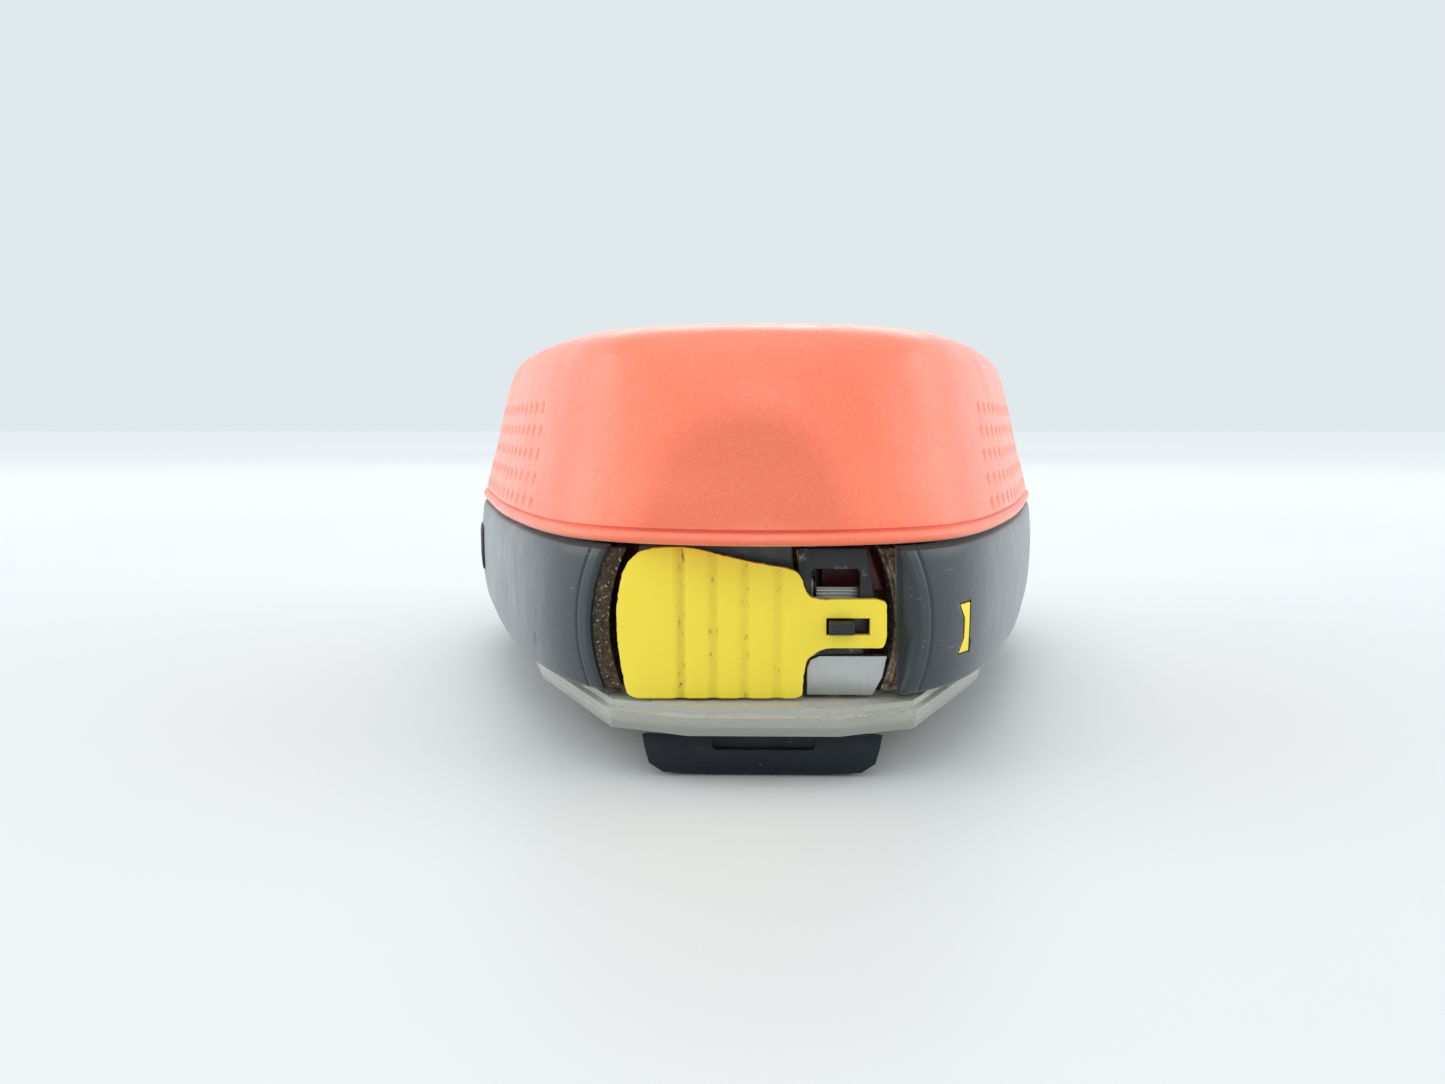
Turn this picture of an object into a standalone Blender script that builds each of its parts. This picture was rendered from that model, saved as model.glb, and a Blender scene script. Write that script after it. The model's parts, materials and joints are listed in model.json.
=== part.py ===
"""A hand tape measure lying on its side: a domed cover, a rubber band round the waist, a clear lower
cover and a belt clip. Inside are the blade's reel, its power spring and a brake. Metres, +Z up, the
mouth towards -Y, and the origin under the middle of the case, on the surface that it lies on."""

from math import cos, hypot, pi, sin

import bmesh
import bpy
from mathutils import Vector

MM = 0.001
GAP = 0.3
SEGMENTS = 64

# The case's plan at the parting line, from the nose to the back: (half width, y) in millimetres
NOSE_Y = -64.0
BACK_Y = 64.0
PLAN = (
    (0.0, NOSE_Y),
    (16.6, -60.6),
    (27.2, -51.3),
    (38.4, -28.3),
    (47.6, -2.0),
    (53.4, 18.0),
    (54.2, 34.0),
    (47.5, 51.0),
    (29.0, 61.4),
    (0.0, BACK_Y),
)
PLAN_CENTRE_Y = 8.0
HALF_WIDTH = 54.0

# The case's heights and walls
TOP_Z = 57.2
PARTING_Z = 29.2
BAND_BOTTOM_Z = 10.8
LEDGE_Z = 10.0
COVER_WALL = 2.2
BAND_BULGE = 0.8
SCREW_PLACES = ((35.5, 37.0), (-35.5, 37.0), (-24.0, -26.0), (24.0, -26.0))
WEB_THICK = 2.0

# The mouth
MOUTH_LEFT = -18.9
MOUTH_RIGHT = 16.2
MOUTH_MIDDLE_Z = 19.2
MOUTH_REACH = 14.2
MOUTH_BULGE = 5.0
PAD_THICK = 2.0

# The blade and its reel
BLADE_X = 5.0
BLADE_WIDTH = 16.0
BLADE_BOTTOM_Z = 12.2
BLADE_TOP_Z = BLADE_BOTTOM_Z + BLADE_WIDTH
BLADE_THICK = 0.4
BLADE_CUP = 0.6
BLADE_FRONT_Y = NOSE_Y + 7.8
REEL_RADIUS = 21.0
COIL_RADIUS = 20.5
FLANGE_RADIUS = 22.5
REEL_X = BLADE_X - REEL_RADIUS
REEL_Y = 12.0
BLADE_BACK_Y = REEL_Y - 7.5
POST_RADIUS = 3.0
BORE_RADIUS = 3.3
RIVET_ZS = (17.7, 23.1)
RIVET_Y = NOSE_Y + 12.1

# The tab at the blade's end, and the lug of the hook that it slides on
TAB_FRONT_Y = NOSE_Y + 4.2
TAB_THICK = 1.1
LUG_LEFT = 8.0
LUG_WIDTH = 3.0
LUG_LOW_Z = 18.6
LUG_HEIGHT = 1.5
TAB_TRAVEL = 1.7

# The brake button, on the side that is the top in use
BRAKE_Y = REEL_Y
BRAKE_Z = 20.4
BRAKE_LENGTH = 15.0
BRAKE_HEIGHT = 8.0

# The belt clip
CLIP_HALF_WIDTH = 15.0
CLIP_FRONT_Y = NOSE_Y + 5.0
CLIP_HINGE_Y = 20.0

MATERIALS = {
    "orange": ((1.0, 0.28, 0.16), 0.42, 0.0),
    "dark_red": ((0.30, 0.03, 0.02), 0.5, 0.0),
    "rubber": ((0.055, 0.065, 0.075), 0.62, 0.0),
    "grey": ((0.08, 0.09, 0.10), 0.35, 0.0),
    "clear": ((0.85, 0.88, 0.86), 0.1, 0.0),
    "black": ((0.012, 0.018, 0.03), 0.5, 0.0),
    "yellow": ((1.0, 0.80, 0.05), 0.45, 0.0),
    "steel": ((0.55, 0.56, 0.56), 0.35, 1.0),
    "dark_steel": ((0.10, 0.10, 0.11), 0.4, 0.8),
    "felt": ((0.12, 0.07, 0.04), 0.95, 0.0),
    "blade_yellow": ((0.95, 0.75, 0.08), 0.4, 0.0),
    "white": ((0.80, 0.80, 0.78), 0.5, 0.0),
}


def clear_scene():
    for obj in list(bpy.data.objects):
        bpy.data.objects.remove(obj, do_unlink=True)


def material(name):
    found = bpy.data.materials.get(name)
    if found:
        return found
    color, roughness, metallic = MATERIALS[name]
    made = bpy.data.materials.new(name)
    made.use_nodes = True
    shader = made.node_tree.nodes["Principled BSDF"]
    shader.inputs["Base Color"].default_value = (*color, 1.0)
    shader.inputs["Roughness"].default_value = roughness
    shader.inputs["Metallic"].default_value = metallic
    return made


def mesh_object(name, points, faces, finish, origin=(0.0, 0.0, 0.0)):
    """An object from points in millimetres, with its own origin also in millimetres."""
    base = Vector(origin)
    mesh = bpy.data.meshes.new(name)
    mesh.from_pydata([(Vector(point) - base) * MM for point in points], [], faces)
    work = bmesh.new()
    work.from_mesh(mesh)
    bmesh.ops.recalc_face_normals(work, faces=work.faces)
    work.to_mesh(mesh)
    work.free()
    mesh.shade_smooth()
    mesh.set_sharp_from_angle(angle=0.6)
    obj = bpy.data.objects.new(name, mesh)
    obj.location = base * MM
    obj.data.materials.append(material(finish))
    bpy.context.collection.objects.link(obj)
    return obj


def skin(rings, loop=False):
    """Points and faces through rings of equal length: closed into a loop, or capped at both ends."""
    count = len(rings[0])
    points = [point for ring in rings for point in ring]
    faces = []
    for row in range(len(rings) if loop else len(rings) - 1):
        near = row * count
        far = (row + 1) % len(rings) * count
        for i in range(count):
            after = (i + 1) % count
            faces.append((near + i, near + after, far + after, far + i))
    if not loop:
        faces.append(tuple(range(count)))
        faces.append(tuple(range(len(points) - count, len(points))))
    return points, faces


def prism(name, outline, low, high, axis, finish, origin=(0.0, 0.0, 0.0)):
    """An outline pushed along an axis: (x, y) along Z, (x, z) along Y, or (y, z) along X."""
    place = {
        "Z": lambda a, b, at: (a, b, at),
        "Y": lambda a, b, at: (a, at, b),
        "X": lambda a, b, at: (at, a, b),
    }[axis]
    rings = [[place(a, b, at) for a, b in outline] for at in (low, high)]
    return mesh_object(name, *skin(rings), finish, origin)


def box_outline(left, right, low, high):
    return [(left, low), (right, low), (right, high), (left, high)]


def rounded_box(half_a, half_b, radius, steps=4, centre=(0.0, 0.0)):
    points = []
    for corner in range(4):
        side_a = 1 if corner in (0, 3) else -1
        side_b = 1 if corner in (0, 1) else -1
        for step in range(steps + 1):
            angle = (corner + step / steps) * pi / 2
            across = side_a * (half_a - radius) + radius * cos(angle)
            up = side_b * (half_b - radius) + radius * sin(angle)
            points.append((centre[0] + across, centre[1] + up))
    return points


def circle(radius, steps=24, centre=(0.0, 0.0)):
    turn = 2 * pi / steps
    return [(centre[0] + radius * cos(i * turn), centre[1] + radius * sin(i * turn)) for i in range(steps)]


def turned(name, profile, centre, finish, steps=40):
    """A closed (radius, z) profile, clear of the axis, turned about an upright axis."""
    rings = [[(centre[0] + x, centre[1] + y, z) for x, y in circle(radius, steps)] for radius, z in profile]
    return mesh_object(name, *skin(rings, loop=True), finish, (*centre, 0.0))


def turned_pin(name, profile, centre, steps=16):
    """A solid pin or screw: each (radius, z) of its profile is one ring, and both ends are flat."""
    rings = [[(centre[0] + x, centre[1] + y, z) for x, y in circle(radius, steps)] for radius, z in profile]
    return mesh_object(name, *skin(rings), "steel", (*centre, 0.0))


def cylinder(name, radius, low, high, centre, finish, steps=20):
    return prism(name, circle(radius, steps, centre), low, high, "Z", finish, (*centre, 0.0))


def boolean(target, other, operation):
    step = target.modifiers.new(other.name, "BOOLEAN")
    step.operation = operation
    step.object = other
    step.solver = "EXACT"
    hide(other)


def hide(helper):
    helper.hide_render = True
    helper.display_type = "WIRE"


def smooth_closed(corners, steps):
    """A Catmull-Rom curve round the corners."""
    curve = []
    count = len(corners)
    for i in range(count):
        before, start, end, after = (corners[(i + k) % count] for k in (-1, 0, 1, 2))
        for step in range(steps):
            t = step / steps
            weights = (
                (-t + 2 * t * t - t**3) / 2,
                (2 - 5 * t * t + 3 * t**3) / 2,
                (t + 4 * t * t - 3 * t**3) / 2,
                (-t * t + t**3) / 2,
            )
            near = (before, start, end, after)
            curve.append(tuple(sum(w * point[k] for w, point in zip(weights, near)) for k in (0, 1)))
    return curve


def even_points(curve, count):
    """Points at even distances round a closed curve."""
    ends = curve[1:] + curve[:1]
    lengths = [hypot(b[0] - a[0], b[1] - a[1]) for a, b in zip(curve, ends)]
    total = sum(lengths)
    points = []
    at = 0
    passed = 0.0
    for i in range(count):
        target = total * i / count
        while passed + lengths[at] < target:
            passed += lengths[at]
            at += 1
        t = (target - passed) / lengths[at]
        a, b = curve[at], ends[at]
        points.append((a[0] + (b[0] - a[0]) * t, a[1] + (b[1] - a[1]) * t))
    return points


def plan_points():
    right = list(PLAN)
    left = [(-x, y) for x, y in PLAN[-2:0:-1]]
    return even_points(smooth_closed(right + left, 12), SEGMENTS)


OUTLINE = plan_points()


def plan_ring(inset, z):
    """The plan outline at one height, drawn in towards the middle of the case."""
    ring = []
    for x, y in OUTLINE:
        reach = hypot(x, y - PLAN_CENTRE_Y)
        share = 1 - inset / reach
        ring.append((x * share, PLAN_CENTRE_Y + (y - PLAN_CENTRE_Y) * share, z))
    return ring


# The top cover's outside, from its rim up: (z, inset)
DOME = (
    (29.5, 0.6),
    (29.9, 0.0),
    (31.0, -0.1),
    (31.6, 0.6),
    (34.5, 1.4),
    (39.0, 2.8),
    (44.5, 4.2),
    (50.0, 5.7),
    (53.4, 7.1),
    (55.6, 9.2),
    (56.8, 12.6),
    (TOP_Z, 18.0),
)


def dome_ring(inset, z):
    """The plan outline at one height, shrunk until its sides come in by the inset and its ends by more."""
    share = 1 - inset / HALF_WIDTH
    return [(x * share, PLAN_CENTRE_Y + (y - PLAN_CENTRE_Y) * share, z) for x, y in OUTLINE]


def screw_at():
    return [(at, x, y) for at, (x, y) in enumerate(SCREW_PLACES, 1)]


def web(name, x, y, reach, low, high, finish):
    """A rib from a screw's boss straight out to the wall, ending at reach times the boss's own distance."""
    far_x = x * reach
    far_y = PLAN_CENTRE_Y + (y - PLAN_CENTRE_Y) * reach
    length = hypot(far_x - x, far_y - y)
    side_x = (far_y - y) / length * WEB_THICK / 2
    side_y = (x - far_x) / length * WEB_THICK / 2
    near = [(x + side_x, y + side_y), (x - side_x, y - side_y)]
    far = [(far_x - side_x, far_y - side_y), (far_x + side_x, far_y + side_y)]
    return prism(name, near + far, low, high, "Z", finish)


def top_cover():
    outside = [dome_ring(inset, z) for z, inset in DOME]
    inside = [dome_ring(inset + COVER_WALL, z - COVER_WALL * (z > 45)) for z, inset in DOME[4:]]
    inside.insert(0, dome_ring(DOME[3][1] + COVER_WALL, DOME[0][0]))
    cover = mesh_object("top_cover", *skin(inside[::-1] + outside), "orange")
    for at, x, y in screw_at():
        boolean(cover, cylinder(f"cover_boss_{at}", 3.0, 31.8, 43.0, (x, y), "orange", 14), "UNION")
        boolean(cover, web(f"cover_web_{at}", x, y, 1.31, 32.4, 38.0, "orange"), "UNION")
    for at, x, y in screw_at():
        hole = cylinder(f"cover_hole_{at}", 1.6, 25.0, 42.0, (x, y), "orange", 12)
        boolean(cover, hole, "DIFFERENCE")
    socket = cylinder("post_socket", 6.0, 51.0, 55.8, (REEL_X, REEL_Y), "orange", 24)
    boolean(cover, socket, "UNION")
    seat = cylinder("post_seat", BORE_RADIUS, 48.0, 53.6, (REEL_X, REEL_Y), "orange", 24)
    boolean(cover, seat, "DIFFERENCE")


def mouth_outline(grow):
    """The mouth in (x, z): two upright sides that bow outwards."""
    points = []
    steps = 12
    for side, wall in ((1, MOUTH_RIGHT + grow), (-1, MOUTH_LEFT - grow)):
        for step in range(steps + 1):
            rise = -1 + 2 * step / steps
            edge = wall - side * MOUTH_BULGE * rise * rise
            points.append((edge, MOUTH_MIDDLE_Z + side * rise * MOUTH_REACH))
    return points


# The rubber band's outside and inside: (z, inset)
BAND_OUTSIDE = (
    (BAND_BOTTOM_Z, 0.9),
    (11.5, 0.2),
    (14.5, -0.5),
    (18.5, -BAND_BULGE),
    (23.0, -BAND_BULGE),
    (27.0, -0.3),
    (28.9, 0.5),
)
BAND_INSIDE = ((28.9, 3.6), (20.0, 3.6), (BAND_BOTTOM_Z, 3.9))


def rubber_band():
    rings = [plan_ring(inset, z) for z, inset in BAND_OUTSIDE + BAND_INSIDE]
    band = mesh_object("rubber_band", *skin(rings, loop=True), "rubber")
    cut_mouth(band)
    cut_brake_slot(band)
    recess = prism("band_mark_recess", mark_outline(GAP), -62.0, -30.0, "Y", "rubber")
    boolean(recess, waist("band_mark_floor", 1.1), "DIFFERENCE")
    boolean(band, recess, "DIFFERENCE")


def cut_mouth(target):
    mouth = prism(f"{target.name}_mouth", mouth_outline(PAD_THICK + GAP), -75.0, -30.0, "Y", "rubber")
    boolean(target, mouth, "DIFFERENCE")


def cut_brake_slot(target):
    slot = prism(f"{target.name}_slot", brake_outline(GAP), -65.0, -35.0, "X", "rubber")
    boolean(target, slot, "DIFFERENCE")


def waist(name, depth):
    """A helper that fills the case to a given depth under the band's surface."""
    rings = [plan_ring(inset + depth, z) for z, inset in BAND_OUTSIDE[1:-1]]
    helper = mesh_object(name, *skin(rings), "rubber")
    hide(helper)
    return helper


def mark_outline(grow):
    """The index mark in (x, z): an upright bar whose left side is waisted."""
    left, right, low, high, waisted = 24.8, 26.4, 15.0, 21.3, 0.8
    middle = (low + high) / 2
    return [
        (left - grow, low - grow),
        (right + grow, low - grow),
        (right + grow, high + grow),
        (left - grow, high + grow),
        (left - grow + waisted, middle + 1.3),
        (left - grow + waisted, middle - 1.3),
    ]


def index_mark():
    mark = prism("index_mark", mark_outline(0.0), -62.0, -40.0, "Y", "yellow")
    boolean(mark, waist("mark_front", 0.0), "INTERSECT")
    boolean(mark, waist("mark_back", 0.8), "DIFFERENCE")


def inner_frame():
    profile = ((11.2, 4.3), (20.0, 4.0), (28.7, 4.0), (28.7, 5.8), (20.0, 5.8), (11.2, 6.1))
    rings = [plan_ring(inset, z) for z, inset in profile]
    frame = mesh_object("inner_frame", *skin(rings, loop=True), "grey")
    for at, x, y in screw_at():
        boolean(frame, cylinder(f"frame_boss_{at}", 2.8, 11.3, 28.6, (x, y), "grey", 14), "UNION")
        boolean(frame, web(f"frame_web_{at}", x, y, 1.27, 12.4, 27.6, "grey"), "UNION")
    for at, x, y in screw_at():
        hole = cylinder(f"frame_hole_{at}", 1.7, 5.0, 40.0, (x, y), "grey", 12)
        boolean(frame, hole, "DIFFERENCE")
    cut_mouth(frame)
    cut_brake_slot(frame)


# The right half of the clear cover's plan, front facet first
FACETS = (
    (9.2, NOSE_Y + 0.4),
    (18.8, NOSE_Y + 4.0),
    (32.0, NOSE_Y + 27.5),
    (41.0, NOSE_Y + 56.0),
    (49.4, NOSE_Y + 84.0),
    (49.8, NOSE_Y + 101.0),
    (38.5, NOSE_Y + 117.5),
    (14.0, NOSE_Y + 125.0),
)


def facet_ring(share, z):
    """The clear cover's faceted plan outline at one height."""
    right = [(x, y) for x, y in FACETS]
    left = [(-x, y) for x, y in FACETS[::-1]]
    return [(x * share, PLAN_CENTRE_Y + (y - PLAN_CENTRE_Y) * share, z) for x, y in right + left]


def clear_cover():
    outside = [facet_ring(0.45, 3.6), facet_ring(0.95, 6.0), facet_ring(0.99, 6.6), facet_ring(1.0, 9.0)]
    outside += [facet_ring(0.988, 9.3), facet_ring(0.985, LEDGE_Z)]
    inside = [facet_ring(0.91, LEDGE_Z), facet_ring(0.91, 7.1), facet_ring(0.45, 5.4)]
    cover = mesh_object("clear_cover", *skin(outside + inside), "clear")
    for at, x, y in screw_at():
        boss = cylinder(f"clear_boss_{at}", 3.6, 4.6, 9.9, (x, y), "clear", 16)
        boolean(cover, boss, "UNION")
    for at, x, y in screw_at():
        through = cylinder(f"clear_hole_{at}", 1.7, 0.0, 20.0, (x, y), "clear", 12)
        boolean(cover, through, "DIFFERENCE")
        seat = cylinder(f"clear_seat_{at}", 2.9, 0.0, 7.2, (x, y), "clear", 16)
        boolean(cover, seat, "DIFFERENCE")
    clip_hole = cylinder("clip_screw_hole", 1.6, 0.0, 9.0, clip_screw_place(), "clear", 12)
    boolean(cover, clip_hole, "DIFFERENCE")


def base_plate():
    plate = mesh_object("base_plate", *skin([facet_ring(0.86, 7.7), facet_ring(0.86, 9.0)]), "white")
    for at, x, y in screw_at():
        notch = cylinder(f"plate_notch_{at}", 4.4, 6.0, 12.0, (x, y), "grey", 16)
        boolean(plate, notch, "DIFFERENCE")
    bore = cylinder("plate_bore", BORE_RADIUS, 6.0, 12.0, (REEL_X, REEL_Y), "grey", 24)
    boolean(plate, bore, "DIFFERENCE")


def case_screws():
    for at, x, y in screw_at():
        profile = ((2.5, 5.2), (2.5, 6.9), (1.25, 6.9), (1.25, 39.6), (0.5, 40.6))
        turned_pin(f"case_screw_{at}", profile, (x, y))


def mouth_pads():
    """Felt strips that line both sides of the mouth."""
    low = BAND_BOTTOM_Z + 0.4
    high = PARTING_Z - 0.5
    steps = 10
    heights = [low + (high - low) * step / steps for step in range(steps + 1)]
    for name, wall, side in (("mouth_pad_left", MOUTH_LEFT, -1), ("mouth_pad_right", MOUTH_RIGHT, 1)):
        near = [(wall - side * MOUTH_BULGE * ((z - MOUTH_MIDDLE_Z) / MOUTH_REACH) ** 2, z) for z in heights]
        far = [(x + side * PAD_THICK, z) for x, z in near[::-1]]
        prism(name, near + far, NOSE_Y + 5.6, NOSE_Y + 12.6, "Y", "felt")


def mouth_fittings():
    """What stands behind the tab: the mouth's back plate, a glossy block, a liner and the hook's bumper."""
    outline = box_outline(-19.0, 16.0, 11.2, 28.6)
    plate = prism("mouth_plate", outline, NOSE_Y + 12.9, NOSE_Y + 14.4, "Y", "dark_red")
    middle = (BLADE_BOTTOM_Z + BLADE_TOP_Z) / 2
    slot = rounded_box(2.2, BLADE_WIDTH / 2 + 0.4, 0.4, 2, (BLADE_X + 0.6, middle))
    boolean(plate, prism("blade_slot", slot, NOSE_Y + 10.0, NOSE_Y + 18.0, "Y", "dark_red"), "DIFFERENCE")
    prism("nose_plate", rounded_box(9.6, 2.0, 0.6, 3, (-5.8, 27.0)), NOSE_Y + 7.6, NOSE_Y + 9.0, "Y", "grey")
    liner = [(12.9, 23.0), (15.3, 23.0), (13.3, 28.6), (10.9, 28.6)]
    prism("mouth_liner", liner, NOSE_Y + 9.2, NOSE_Y + 10.4, "Y", "dark_red")
    bumper = rounded_box(2.4, 1.8, 0.8, 3, (11.2, 13.8))
    prism("hook_bumper", bumper, NOSE_Y + 9.4, NOSE_Y + 12.6, "Y", "rubber")


def reel():
    centre = (REEL_X, REEL_Y)
    flange = FLANGE_RADIUS
    hub = (
        (BORE_RADIUS, 11.0),
        (flange, 11.0),
        (flange, 11.8),
        (15.2, 11.8),
        (15.2, 28.3),
        (BORE_RADIUS, 28.3),
    )
    turned("reel_hub", hub, centre, "white")
    coil = (
        (15.5, BLADE_BOTTOM_Z),
        (COIL_RADIUS, BLADE_BOTTOM_Z),
        (COIL_RADIUS, BLADE_TOP_Z),
        (15.5, BLADE_TOP_Z),
    )
    turned("blade_coil", coil, centre, "blade_yellow", 48)
    top = ((BORE_RADIUS, 28.6), (flange, 28.6), (flange, 29.4), (7.5, 29.4), (7.5, 31.6), (BORE_RADIUS, 31.6))
    turned("reel_flange", top, centre, "white")
    barrel = (
        (BORE_RADIUS, 31.9),
        (21.5, 31.9),
        (21.5, 47.8),
        (20.1, 47.8),
        (20.1, 33.2),
        (BORE_RADIUS, 33.2),
    )
    turned("spring_barrel", barrel, centre, "grey")
    cap = ((BORE_RADIUS, 48.1), (21.5, 48.1), (21.5, 49.2), (BORE_RADIUS, 49.2))
    turned("barrel_cap", cap, centre, "white")


def power_spring():
    """A flat spiral strip between the post and the barrel's wall."""
    turns, steps, inner, outer, thick = 4, 24, 5.2, 19.4, 1.3
    low, high = 33.6, 47.2
    count = turns * steps
    sides = [[], []]
    for i in range(count + 1):
        radius = inner + thick / 2 + (outer - inner - thick) * i / count
        angle = 2 * pi * i / steps
        for side, offset in zip(sides, (thick / 2, -thick / 2)):
            side.append((REEL_X + (radius + offset) * cos(angle), REEL_Y + (radius + offset) * sin(angle)))
    outline = sides[0] + sides[1][::-1]
    points, faces = skin([[(x, y, z) for x, y in outline] for z in (low, high)])
    faces = faces[:-2]
    last = len(outline) - 1
    for start in (0, len(outline)):
        for i in range(count):
            faces.append((start + i, start + i + 1, start + last - i - 1, start + last - i))
    mesh_object("power_spring", points, faces, "steel", (REEL_X, REEL_Y, 0.0))


def reel_post():
    foot, shaft = 6.0, POST_RADIUS
    profile = ((foot, 5.9), (foot, 7.4), (shaft, 7.4), (shaft, 52.9), (shaft - 0.5, 53.3))
    turned_pin("reel_post", profile, (REEL_X, REEL_Y), 24)


def spring_plate():
    """The fixed plate between the reel and the power spring."""
    plate = mesh_object("spring_plate", *skin([plan_ring(5.0, z) for z in (29.9, 31.0)]), "grey")
    bore = cylinder("spring_plate_bore", 8.4, 25.0, 35.0, (REEL_X, REEL_Y), "grey", 24)
    boolean(plate, bore, "DIFFERENCE")
    for at, x, y in screw_at():
        hole = cylinder(f"spring_plate_hole_{at}", 1.7, 25.0, 35.0, (x, y), "grey", 12)
        boolean(plate, hole, "DIFFERENCE")


def guide_posts():
    low = 9.3
    high = PARTING_Z - 0.5
    for name, x in (("guide_post_left", BLADE_X - 2.7), ("guide_post_right", BLADE_X + 2.1)):
        turned_pin(name, ((1.4, low), (1.4, high)), (x, NOSE_Y + 17.5))


def blade():
    """The blade's free end: a strip cupped across its width, with two holes for the hook's rivets."""
    steps = 8
    sides = []
    for side in (0.5, -0.5):
        row = []
        for step in range(steps + 1):
            across = 2 * step / steps - 1
            z = BLADE_BOTTOM_Z + BLADE_WIDTH * step / steps
            row.append((BLADE_X + side * BLADE_THICK - BLADE_CUP * across * across, z))
        sides.append(row)
    strip = prism("blade", sides[0] + sides[1][::-1], BLADE_FRONT_Y, BLADE_BACK_Y, "Y", "blade_yellow")
    for at, z in enumerate(RIVET_ZS, 1):
        hole = prism(f"blade_hole_{at}", circle(1.0, 12, (RIVET_Y, z)), 0.0, 9.0, "X", "blade_yellow")
        boolean(strip, hole, "DIFFERENCE")
        rivet(f"hook_rivet_{at}", z)


def rivet(name, z):
    """A rivet through the blade and the hook's foot, along X."""
    rings = []
    profile = ((-1.5, 0.7), (-1.1, 1.35), (-0.7, 1.35), (-0.7, 0.65), (1.5, 0.65), (1.5, 1.35), (1.9, 1.1))
    for x, radius in profile:
        rings.append([(BLADE_X + x, y, up) for y, up in circle(radius, 14, (RIVET_Y, z))])
    mesh_object(name, *skin(rings), "steel")


def end_hook():
    """The bright hook plate: a foot along the blade, a tongue and the lower wing."""
    front = BLADE_FRONT_Y - GAP
    left = BLADE_X + 0.5
    tongue = [(left, 14.4), (11.8, 14.4), (11.8, 23.8), (6.6, 23.8), (6.6, 21.6), (left, 21.6)]
    plate = prism("end_hook", tongue, front - 0.8, front, "Y", "steel")
    corner = [(left, 13.9), (left + 0.4, 14.9), (left + 1.5, 15.4)]
    wing = [(left, 10.5), (13.6, 10.5), (14.8, 12.8), (15.3, 15.4)] + corner[::-1]
    boolean(plate, prism("hook_wing", wing, front - 1.9, front - 0.6, "Y", "steel"), "UNION")
    outline = rounded_box(3.9, 4.9, 0.8, 3, (front + 3.1, 20.2))
    foot = prism("hook_foot", outline, left, left + 0.7, "X", "steel")
    boolean(plate, foot, "UNION")
    for at, z in enumerate(RIVET_ZS, 1):
        outline = rounded_box(1.5, 1.0, 0.95, 4, (RIVET_Y + 0.4, z))
        slot = prism(f"hook_slot_{at}", outline, 3.0, 8.5, "X", "steel")
        boolean(plate, slot, "DIFFERENCE")


def carrier_back():
    return BLADE_FRONT_Y - GAP - 0.8 - GAP


def hook_carrier():
    """The dark frame in front of the hook: a wing with a window, and the lug that carries the tab."""
    back = carrier_back()
    outline = [(4.3, 22.9), (5.0, 15.7), (12.4, 15.7), (13.6, 22.9), (12.6, 28.8), (4.3, 28.8)]
    plate = prism("hook_carrier", outline, back - 0.8, back, "Y", "dark_steel")
    window = prism("hook_window", rounded_box(2.9, 1.9, 0.4, 2, (8.9, 24.3)), -70.0, -45.0, "Y", "dark_steel")
    boolean(plate, window, "DIFFERENCE")
    outline = box_outline(LUG_LEFT, LUG_LEFT + LUG_WIDTH, LUG_LOW_Z, LUG_LOW_Z + LUG_HEIGHT)
    lug = prism("hook_lug", outline, TAB_FRONT_Y - 1.5, back - 0.4, "Y", "dark_steel")
    boolean(plate, lug, "UNION")


# The thumb tab in (x, z), clockwise from the paddle's left edge
PADDLE_TOP = (
    (-17.8, 20.9),
    (-17.5, 23.9),
    (-16.8, 26.5),
    (-15.3, 28.4),
    (-12.9, 29.0),
    (-8.9, 29.0),
    (-5.2, 28.1),
    (-0.5, 27.0),
    (3.5, 26.4),
    (4.6, 25.6),
    (5.0, 24.1),
)
NECK = ((5.6, 23.0), (7.0, 22.6), (14.5, 22.7), (15.0, 22.1), (15.0, 17.3), (14.5, 16.7), (8.0, 16.7))
PADDLE_FOOT = (
    (6.3, 16.2),
    (5.3, 15.0),
    (5.0, 13.2),
    (4.9, 10.4),
    (-16.5, 10.4),
    (-17.2, 13.6),
    (-17.7, 17.6),
)


def thumb_tab():
    back = TAB_FRONT_Y + TAB_THICK
    tab = prism("thumb_tab", PADDLE_TOP + NECK + PADDLE_FOOT, TAB_FRONT_Y, back, "Y", "yellow")
    right = LUG_LEFT + LUG_WIDTH + TAB_TRAVEL + GAP
    outline = box_outline(LUG_LEFT - GAP, right, LUG_LOW_Z - GAP, LUG_LOW_Z + LUG_HEIGHT + GAP)
    boolean(tab, prism("tab_slot", outline, NOSE_Y, NOSE_Y + 10.0, "Y", "yellow"), "DIFFERENCE")


def brake_outline(grow):
    return rounded_box(BRAKE_LENGTH / 2 + grow, BRAKE_HEIGHT / 2 + grow, 2.5, 4, (BRAKE_Y, BRAKE_Z))


def brake():
    """A button flush with the band, with a flange behind the frame, a stem and a rubber pad."""
    button = prism("brake_button", brake_outline(0.0), -60.0, -42.2, "X", "black")
    boolean(button, waist("brake_face", -0.2), "INTERSECT")
    place = (BRAKE_Y, BRAKE_Z)
    flange = prism("brake_flange", rounded_box(9.0, 5.2, 2.0, 3, place), -42.8, -42.0, "X", "black")
    boolean(button, flange, "UNION")
    stem = prism("brake_stem", rounded_box(3.0, 2.4, 0.6, 2, place), -42.4, -41.5, "X", "black")
    boolean(button, stem, "UNION")
    prism("brake_pad", box_outline(BRAKE_Y - 4.0, BRAKE_Y + 4.0, 11.2, 29.2), -41.2, -39.7, "X", "rubber")


def clip_screw_place():
    return (0.0, CLIP_HINGE_Y + 6.0)


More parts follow.
